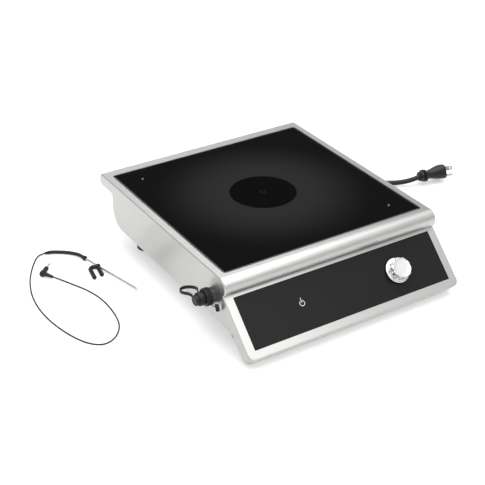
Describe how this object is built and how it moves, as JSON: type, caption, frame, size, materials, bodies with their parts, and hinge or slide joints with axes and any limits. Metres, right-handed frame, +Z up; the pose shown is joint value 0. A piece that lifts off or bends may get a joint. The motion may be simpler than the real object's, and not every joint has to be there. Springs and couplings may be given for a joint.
{
  "type": "electric induction cooktop",
  "caption": "Countertop electric induction cooktop: flush glass in a welded stainless housing, sloping fascia with a push-and-turn knob, side socket and plug-in temperature probe.",
  "frame": {"origin": "centre of the cooking glass's top face", "axes": "+Z up out of the glass, +X to the user's right, -Y towards the user and the fascia; the worktop under the feet is at z = -0.108 m"},
  "size_m": [0.7655, 0.544, 0.108],
  "materials": {
    "stainless": "satin brushed stainless steel, welds ground flush",
    "glass_ceramic": "black glass-ceramic, smooth, polished bevel",
    "silicone": "black silicone, matt",
    "panel": "dark grey satin overlay",
    "chrome": "polished chrome with a satin front face",
    "black_plastic": "black moulded nylon, fine texture",
    "rubber": "black moulded rubber",
    "hardware": "zinc-plated steel",
    "aluminium": "mill-finish aluminium",
    "copper": "enamelled copper",
    "ferrite": "sintered ferrite",
    "pcb": "green solder-masked board",
    "component": "moulded component cases",
    "display": "dark display window",
    "mica": "pressed mica",
    "pvc": "black flexible sheath",
    "plated": "nickel-plated contacts"
  },
  "bodies": {
    "housing": {"outer_shell": "stainless", "glass_ledge": "stainless", "glass_seal": "silicone", "glass_top": "glass_ceramic", "base_pan": "stainless", "base_screws": "hardware", "rating_plate": "aluminium", "feet": "rubber", "foot_screws": "hardware", "control_panel": "panel", "panel_gasket": "silicone", "panel_backing": "hardware", "encoder_body": "hardware", "encoder_nut": "hardware", "control_board": "pcb", "board_posts": "hardware", "display_module": "display", "touch_spring": "plated", "coil_former": "black_plastic", "ferrite_bars": "ferrite", "coil_winding": "copper", "mica_sheet": "mica", "coil_shield": "aluminium", "coil_posts": "hardware", "centre_sensor": "black_plastic", "power_board": "pcb", "board_standoffs": "hardware", "heatsink": "aluminium", "power_transistors": "component", "bridge_rectifier": "component", "film_capacitors": "component", "smoothing_choke": "copper", "relay": "component", "fan_housing": "black_plastic", "air_duct": "black_plastic", "signal_ribbon": "pvc", "socket_flange": "black_plastic", "socket_body": "black_plastic", "socket_nut": "hardware", "cap_strap": "rubber", "cap_tether": "rubber", "cord_gland": "rubber", "gland_nut": "black_plastic", "mains_cord": "pvc", "cord_coil": "pvc", "plug_body": "pvc", "plug_blades": "plated", "ground_pin": "plated"},
    "encoder_push": {"encoder_plunger": "hardware"},
    "knob": {"control_knob": "chrome", "knob_hub": "black_plastic", "encoder_shaft": "hardware"},
    "fan": {"fan_rotor": "black_plastic"},
    "cap": {"dust_cap": "rubber"},
    "probe": {"probe_needle": "plated", "probe_handle": "rubber", "probe_cable": "pvc", "probe_jack": "rubber", "jack_pin": "plated"},
    "clip": {"probe_clip": "rubber"}
  },
  "joints": [
    {"name": "knob_push", "type": "slide", "parent": "housing", "child": "encoder_push", "axis": [0, 0.6901, -0.7237], "range_m": [0, 0.0012], "stiffness_N_per_m": 1500, "springref_m": -0.002},
    {"name": "knob_turn", "type": "hinge", "parent": "encoder_push", "child": "knob", "pos_m": [0.0877, -0.21679, -0.04966], "axis": [0, -0.6901, 0.7237], "continuous": true},
    {"name": "fan_spin", "type": "hinge", "parent": "housing", "child": "fan", "pos_m": [-0.092, 0.062, -0.055], "axis": [0, 0, 1], "continuous": true},
    {"name": "cap_pull", "type": "slide", "parent": "housing", "child": "cap", "axis": [-1, 0, 0], "range_m": [0, 0.016], "deforming": ["cap_strap"]},
    {"name": "probe_lift", "type": "slide", "parent": "housing", "child": "probe", "axis": [0, 0, 1], "range_m": [0, 0.15]},
    {"name": "clip_slide", "type": "slide", "parent": "probe", "child": "clip", "axis": [0.2268, -0.9739, 0], "range_m": [-0.018, 0.07]}
  ]
}
